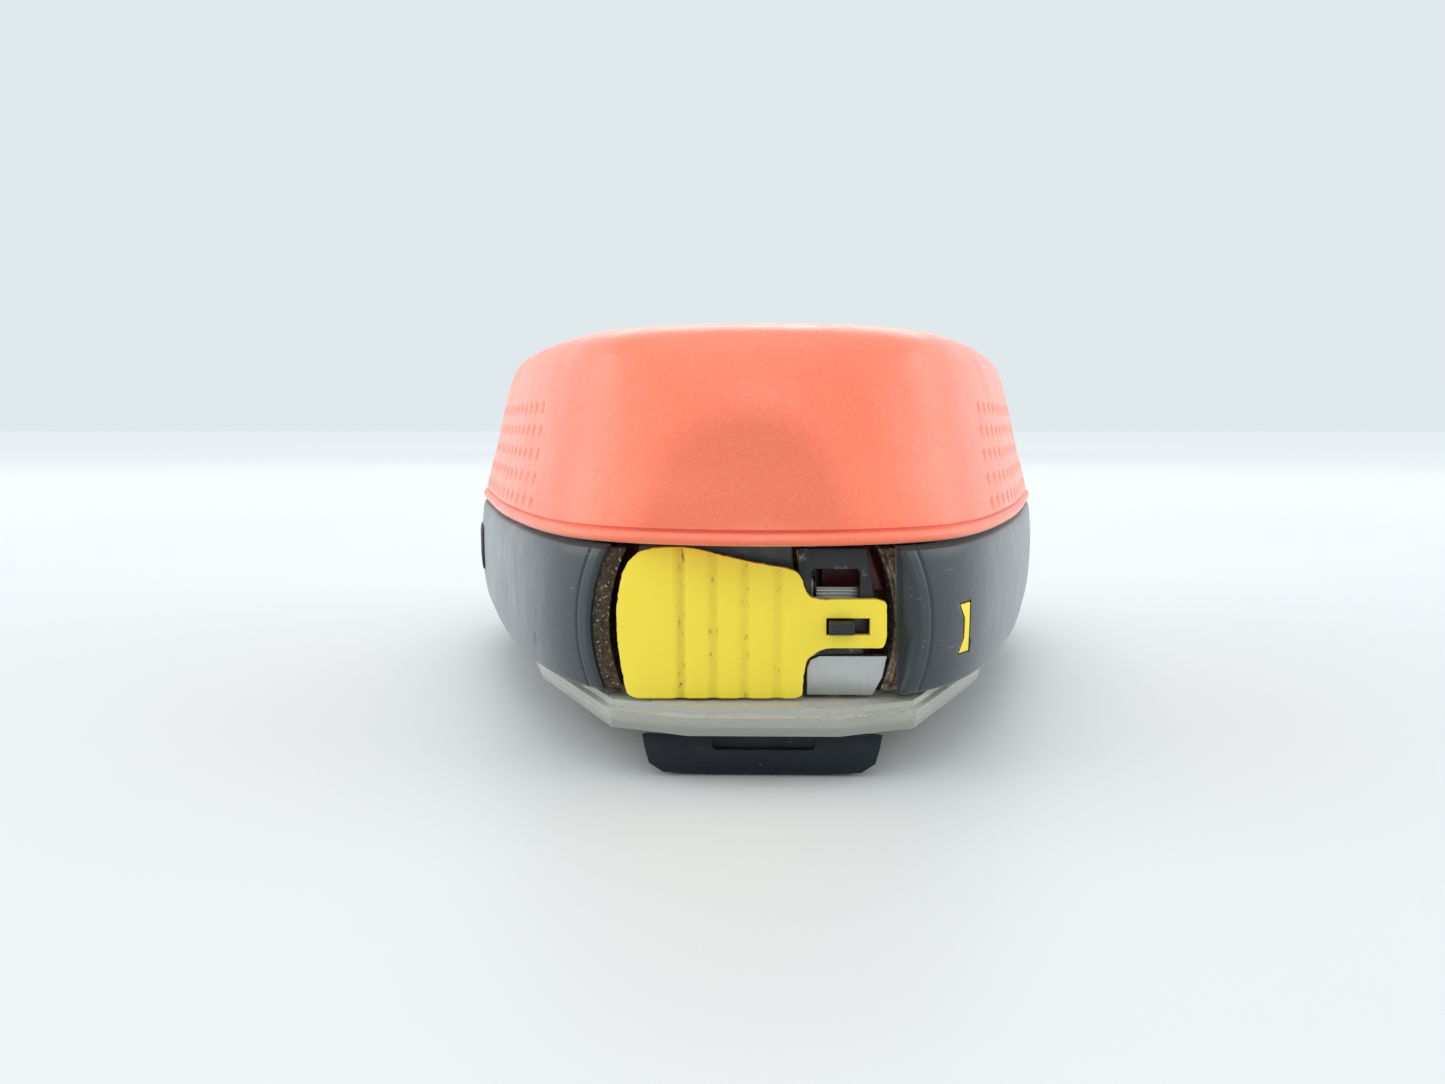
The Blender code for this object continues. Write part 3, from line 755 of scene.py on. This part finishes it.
def orange_plastic():
    look = Look("orange", (0.86, 0.170, 0.086), 0.36)
    broad = look.between(look.noise(30.0, 2.0), 0.35, 0.7)
    mottle = look.between(look.noise(0.5, 3.0), 0.35, 0.75)
    color = look.mix(look.math("MULTIPLY", broad, 0.6), look.color, (0.84, 0.155, 0.08))
    color = look.mix(look.math("MULTIPLY", mottle, 0.22), color, (0.96, 0.29, 0.18))
    specks = look.between(look.noise(1.3, 4.0, rough=0.7), 0.69, 0.74)
    color = look.mix(look.math("MULTIPLY", specks, 0.55), color, (0.35, 0.07, 0.04))
    look.into("Base Color", color)
    look.into("Roughness", look.between(look.noise(7.0, 3.0), 0.3, 0.7, 0.28, 0.42))
    peel = look.bump(look.noise(0.42, 2.0), 0.05)
    look.into("Normal", look.bump(look.noise(9.0, 2.0), 0.25, peel))
    look.set("Sheen Weight", 0.5)
    look.set("Sheen Roughness", 0.4)
    look.set("Sheen Tint", (1.0, 0.88, 0.84, 1.0))
    return look.material


def orange_in_painted_shade():
    # Painted shade: the orange plastic inside the mouth, coloured as dark as it looks in the shadow there
    # rather than its own orange.
    look = Look("dark_red", (0.09, 0.006, 0.008), 0.35)
    look.into("Base Color", look.mix(look.noise(3.0), look.color, (0.14, 0.012, 0.012)))
    look.into("Normal", look.bump(look.noise(0.5, 2.0), 0.04))
    return look.material


def scuffed_rubber_with_painted_sheen():
    """Dark rubber, greyed by dust and handling everywhere but beside the mouth, with its sides painted lighter
    as well: a painted sheen for how they brighten at grazing angles.
    """
    look = Look("rubber", (0.020, 0.028, 0.034), 0.36)
    # Painted sheen: the sides, past 24 mm from the middle, are painted lighter grey along with the wear,
    # standing in for the brightening they show at grazing angles.
    side = look.between(look.math("ABSOLUTE", look.axis("X")), 24.0, 40.0)
    handled_and_sheen_mask = look.math("MAXIMUM", side, look.between(look.axis("Y"), -20.0, 20.0))
    streaks = look.between(look.noise(2.4, 6.0, (1.0, 1.0, 3.0), 0.62), 0.28, 0.78)
    clouds = look.between(look.noise(16.0, 3.0), 0.30, 0.70, 0.35, 1.0)
    scuffs_and_sheen = look.math("MULTIPLY", look.math("MULTIPLY", handled_and_sheen_mask, streaks), clouds)
    # worn is part wear and part painted sheen on the sides; the streaks are the scuffs.
    worn = look.math("ADD", look.math("MULTIPLY", scuffs_and_sheen, 0.60), look.math("MULTIPLY", handled_and_sheen_mask, 0.24))
    color = look.mix(look.noise(12.0, 3.0), look.color, (0.032, 0.041, 0.047))
    color = look.mix(worn, color, (0.52, 0.55, 0.57))
    scratch = look.between(look.noise(0.55, 3.0, (9.0, 9.0, 1.0), 0.6), 0.68, 0.74)
    color = look.mix(look.math("MULTIPLY", scratch, 0.35), color, (0.35, 0.37, 0.38))
    dust = look.between(look.cells(1.7), 0.07, 0.03)
    look.into("Base Color", look.mix(look.math("MULTIPLY", dust, 0.45), color, (0.45, 0.45, 0.43)))
    look.into("Roughness", look.between(worn, 0.0, 0.8, 0.34, 0.66))
    grain = look.bump(look.noise(0.35, 2.0), 0.03)
    look.into("Normal", look.bump(scratch, 0.04, grain))
    look.set("Sheen Weight", 0.30)
    look.set("Sheen Roughness", 0.35)
    look.set("Sheen Tint", (0.92, 0.96, 1.0, 1.0))
    return look.material


def grey_plastic():
    look = Look("grey", (0.060, 0.064, 0.068), 0.28)
    look.into("Base Color", look.mix(look.noise(5.0, 4.0), look.color, (0.11, 0.115, 0.12)))
    look.into("Roughness", look.between(look.noise(2.0, 4.0), 0.3, 0.7, 0.22, 0.42))
    look.into("Normal", look.bump(look.noise(0.6, 2.0), 0.03))
    return look.material


def clear_plastic():
    look = Look("clear", (0.96, 0.96, 0.88), 0.10)
    ledge = look.between(look.facing("Z"), 0.55, 0.95)
    patches = look.between(look.noise(6.0, 5.0, (1.4, 1.0, 1.0), 0.55), 0.15, 0.85)
    dust = look.math("MULTIPLY", ledge, patches)
    specks = look.between(look.noise(0.8, 4.0, rough=0.7), 0.62, 0.72)
    dirt = look.math("MINIMUM", look.math("ADD", dust, look.math("MULTIPLY", specks, 0.30)), 0.92)
    look.into("Base Color", look.mix(dirt, look.color, (0.25, 0.215, 0.18)))
    look.into("Transmission Weight", look.between(dirt, 0.0, 1.0, 0.68, 0.05))
    look.into("Roughness", look.between(dirt, 0.0, 0.8, 0.12, 0.65))
    look.into("Normal", look.bump(look.noise(5.0, 3.0), 0.12))
    look.set("IOR", 1.46)
    return look.material


def black_plastic():
    look = Look("black", (0.004, 0.007, 0.012), 0.40)
    color = look.mix(look.noise(8.0, 3.0), look.color, (0.007, 0.012, 0.019))
    lint = look.between(look.cells(2.2), 0.06, 0.025)
    look.into("Base Color", look.mix(look.math("MULTIPLY", lint, 0.5), color, (0.30, 0.33, 0.36)))
    look.into("Roughness", look.between(look.noise(3.0, 4.0), 0.3, 0.7, 0.44, 0.62))
    look.into("Normal", look.bump(look.noise(0.4, 2.0), 0.03))
    look.set("Specular IOR Level", 0.35)
    return look.material


def yellow_plastic():
    look = Look("yellow", (0.98, 0.78, 0.050), 0.45)
    color = look.mix(look.noise(10.0, 3.0), look.color, (0.96, 0.74, 0.045))
    across = look.axis("X")
    grime_and_shade = look.noise(0.9, 5.0, (1.0, 1.0, 1.8), 0.7)
    for x, amount in zip(TAB_RIBS, (0.95, 0.55, 0.40, 0.30)):
        away = look.math("ABSOLUTE", look.math("SUBTRACT", across, float(x)))
        valley = look.between(away, 0.8, 0.2)
        # Painted shade: a darker orange wash down each rib valley, strongest at x = -10, partly grime and
        # partly the shade that falls in the grooves; the dark spots below are dirt.
        valley_grime_and_shade = look.math("MULTIPLY", look.math("MULTIPLY", valley, grime_and_shade), amount * 0.75)
        color = look.mix(valley_grime_and_shade, color, (0.52, 0.34, 0.02))
        spots = look.math("MULTIPLY", valley, look.between(grime_and_shade, 0.58, 0.66))
        color = look.mix(look.math("MULTIPLY", spots, amount), color, (0.10, 0.055, 0.02))
    look.into("Base Color", color)
    look.into("Roughness", look.between(look.noise(2.5, 4.0), 0.3, 0.7, 0.34, 0.50))
    look.into("Normal", look.bump(look.noise(0.5, 2.0), 0.03))
    return look.material


def brushed_steel():
    look = Look("steel", (0.56, 0.58, 0.57), 0.42, 1.0)
    brushed = look.noise(0.25, 3.0, (1.0, 1.0, 14.0))
    color = look.mix(look.noise(4.0, 4.0), look.color, (0.48, 0.50, 0.50))
    pits = look.between(look.noise(0.9, 4.0, rough=0.7), 0.70, 0.76)
    look.into("Base Color", look.mix(look.math("MULTIPLY", pits, 0.6), color, (0.12, 0.11, 0.10)))
    look.into("Roughness", look.between(brushed, 0.3, 0.7, 0.36, 0.55))
    look.into("Normal", look.bump(brushed, 0.015))
    return look.material


def dark_steel():
    look = Look("dark_steel", (0.035, 0.036, 0.038), 0.38, 0.6)
    worn = look.between(look.noise(1.6, 5.0, rough=0.65), 0.58, 0.72)
    look.into("Base Color", look.mix(worn, look.color, (0.20, 0.20, 0.20)))
    look.into("Roughness", look.between(look.noise(1.2, 4.0), 0.3, 0.7, 0.30, 0.52))
    look.into("Normal", look.bump(look.noise(0.5, 3.0), 0.03))
    return look.material


def dusty_felt_with_painted_shade():
    look = Look("felt", (0.075, 0.050, 0.034), 0.95)
    color = look.mix(look.between(look.noise(0.8, 4.0), 0.35, 0.65), look.color, (0.24, 0.165, 0.11))
    # Painted shade: the left strip, which sits in the shadow behind the tab's edge, is painted much darker than
    # the right one.
    painted_shade_left = look.between(look.axis("X"), 1.0, -1.0)
    color = look.mix(look.math("MULTIPLY", painted_shade_left, 0.75), color, (0.030, 0.020, 0.013))
    grains = look.between(look.noise(0.36, 3.0, rough=0.7), 0.58, 0.68)
    look.into("Base Color", look.mix(look.math("MULTIPLY", grains, 0.8), color, (0.62, 0.48, 0.34)))
    look.into("Normal", look.bump(look.noise(0.5, 4.0, rough=0.7), 0.35))
    return look.material


def ticks(look, along, up, pitch, height, width):
    """1 on the tick marks that stand up from the blade's lower edge, one every pitch, and 0 elsewhere."""
    place = look.math("FRACT", look.math("MULTIPLY", along, 1 / pitch))
    mark = look.math("LESS_THAN", place, width / pitch)
    return look.math("MULTIPLY", mark, look.math("LESS_THAN", up, height))


def blade_paint():
    """Yellow lacquer with plain tick marks, one a millimetre, and longer ones every five and ten."""
    look = Look("blade_paint", (0.93, 0.66, 0.05), 0.3)
    along = look.math("ADD", look.axis("Y"), 200.0)
    up = look.math("SUBTRACT", look.axis("Z"), 12.2)
    color = look.mix(look.noise(6.0, 4.0), look.color, (0.88, 0.60, 0.04))
    for pitch, height, width in ((1.0, 2.6, 0.22), (5.0, 4.2, 0.3), (10.0, 6.4, 0.4)):
        color = look.mix(ticks(look, along, up, pitch, height, width), color, (0.012, 0.012, 0.012))
    look.into("Base Color", color)
    look.into("Roughness", look.between(look.noise(1.5, 4.0), 0.3, 0.7, 0.24, 0.40))
    look.into("Normal", look.bump(look.noise(0.5, 2.0), 0.02))
    return look.material


def white_plastic():
    look = Look("white", (0.78, 0.78, 0.75), 0.45)
    look.into("Base Color", look.mix(look.noise(6.0, 4.0), look.color, (0.70, 0.69, 0.65)))
    look.into("Roughness", look.between(look.noise(2.0, 4.0), 0.3, 0.7, 0.38, 0.55))
    look.into("Normal", look.bump(look.noise(0.6, 2.0), 0.03))
    return look.material


# ---- Stage ----


def make_floor():
    floor = prism("floor", [(-4000, -4000), (4000, -4000), (4000, 4000), (-4000, 4000)], -20.0, 0.0, "Z")
    look = Look("floor", (0.665, 0.67, 0.675), 0.5)
    squares = [look.math("POWER", look.math("ABSOLUTE", look.axis(name)), 2.0) for name in "XY"]
    away = look.math("SQRT", look.math("ADD", *squares))
    color = look.mix(look.noise(180.0, 3.0), look.color, (0.695, 0.698, 0.70))
    look.into("Base Color", look.mix(look.between(away, 250.0, 1600.0), color, (0.86, 0.865, 0.87)))
    look.into("Normal", look.bump(look.noise(30.0, 3.0), 0.1))
    floor.data.materials.append(look.material)


def make_light():
    world = bpy.data.worlds.new("world")
    world.use_nodes = True
    background = world.node_tree.nodes["Background"]
    background.inputs["Color"].default_value = (0.80, 0.875, 0.90, 1.0)
    background.inputs["Strength"].default_value = 0.93
    bpy.context.scene.world = world


def aim(light, place):
    """Puts a light somewhere, pointing at the middle of the case."""
    light.location = Vector(place) * MM
    towards = Vector((0.0, -10.0, 25.0)) * MM - light.location
    light.rotation_euler = towards.to_track_quat("-Z", "Y").to_euler()
    bpy.context.scene.collection.objects.link(light)


def make_softbox(name, place, size, power):
    data = bpy.data.lights.new(name, "AREA")
    data.shape = "RECTANGLE"
    data.size = size[0] * MM
    data.size_y = size[1] * MM
    data.energy = power
    light = bpy.data.objects.new(name, data)
    light.visible_camera = False
    aim(light, place)
    return light


def make_overhead():
    """Soft light from high above, even all over the table."""
    data = bpy.data.lights.new("overhead", "SUN")
    data.energy = 0.68
    data.angle = radians(60)
    aim(bpy.data.objects.new("overhead", data), (-150.0, -450.0, 1500.0))


def make_front_lamp():
    """A lamp over the camera that lights only the cover, and a card that shades an arch on its front."""
    lamp = Vector(FRONT_LAMP)
    lit = bpy.data.collections.new("lit_by_front_lamp")
    lit.objects.link(bpy.data.objects["cover"])
    light = make_softbox("front_lamp", FRONT_LAMP, (7.0, 7.0), FRONT_POWER)
    light.light_linking.receiver_collection = lit
    share = 0.6
    outline = []
    for step in range(25):
        turn = pi * step / 24
        x = ARCH_MIDDLE_X + ARCH_HALF * cos(turn)
        shaded = Vector((x, NOSE_Y + 4.0, ARCH_LOW_Z + ARCH_TALL * sin(turn)))
        outline.append(lamp.lerp(shaded, share))
    card = mesh_object("arch_card", outline, [tuple(range(25))])
    card.visible_camera = False
    card.visible_glossy = False
    look = Look("card", (0.02, 0.02, 0.02), 0.9)
    look.into("Base Color", look.mix(look.noise(40.0), look.color, (0.03, 0.03, 0.03)))
    card.data.materials.append(look.material)


def make_camera():
    data = bpy.data.cameras.new("camera")
    data.lens = FOCAL_LENGTH
    data.sensor_width = 36.0
    data.clip_start = 0.005
    camera = bpy.data.objects.new("camera", data)
    camera.location = Vector(CAMERA_PLACE) * MM
    camera.rotation_euler = (radians(90.0 - CAMERA_PITCH), 0.0, radians(CAMERA_YAW))
    bpy.context.scene.collection.objects.link(camera)
    bpy.context.scene.camera = camera


# ---- Putting it together ----

FINISH = {
    "orange": orange_plastic(),
    "dark_red": orange_in_painted_shade(),
    "rubber": scuffed_rubber_with_painted_sheen(),
    "grey": grey_plastic(),
    "clear": clear_plastic(),
    "black": black_plastic(),
    "yellow": yellow_plastic(),
    "steel": brushed_steel(),
    "dark_steel": dark_steel(),
    "felt": dusty_felt_with_painted_shade(),
    "blade_paint": blade_paint(),
    "white": white_plastic(),
}
SLOT_OF = {part["node"]: part["material_slot"] for part in frame["record"]["subparts"]}
BODY_OF = {node: body for body, nodes in frame["record"]["behaviour"]["bodies"].items() for node in nodes}


def stand_in(piece, node):
    """The piece takes a CAD node's place, with its body and its material slot."""
    piece.data.materials.clear()
    piece.data.materials.append(FINISH[SLOT_OF[node]])
    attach(piece, BODY_OF[node])
    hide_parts(node)


def softened(node, width, segments=3):
    piece = copy_of(node, f"soft_{node}")
    soften(piece, width, segments)
    stand_in(piece, node)


def make_pieces():
    stand_in(domed_cover(), "top_cover")
    stand_in(rubber_band(), "rubber_band")
    stand_in(mouth_strip("strip_left", -1, False), "mouth_pad_left")
    stand_in(mouth_strip("strip_right", 1, True), "mouth_pad_right")
    stand_in(thumb_tab(), "thumb_tab")
    stand_in(end_hook(), "end_hook")
    stand_in(hook_carrier(), "hook_carrier")
    stand_in(belt_clip(), "belt_clip")
    for at in (1, 2, 3, 4):
        stand_in(screw(f"case_screw_{at}", f"cross_screw_{at}", 6.9), f"case_screw_{at}")
    stand_in(screw("clip_screw", "cross_screw_clip", 1.5), "clip_screw")
    for node, width in (
        ("clear_cover", 0.3),
        ("clip_base", 0.35),
        ("brake_button", 0.35),
        ("nose_plate", 0.25),
        ("mouth_plate", 0.15),
        ("mouth_liner", 0.15),
        ("index_mark", 0.12),
        ("base_plate", 0.2),
    ):
        softened(node, width)


def finish_frame():
    for node, obj in frame["nodes"].items():
        obj.data.materials.clear()
        obj.data.materials.append(FINISH[SLOT_OF[node]])


bpy.context.scene.view_settings.view_transform = "Standard"
finish_frame()
make_pieces()
make_camera()
make_floor()
make_light()
make_softbox("left", (-950, -60, 420), (900, 700), 3.8)
make_softbox("right", (950, -40, 420), (900, 700), 3.4)
make_softbox("behind", (0, 700, 580), (900, 260), 2.0)
make_overhead()
make_front_lamp()
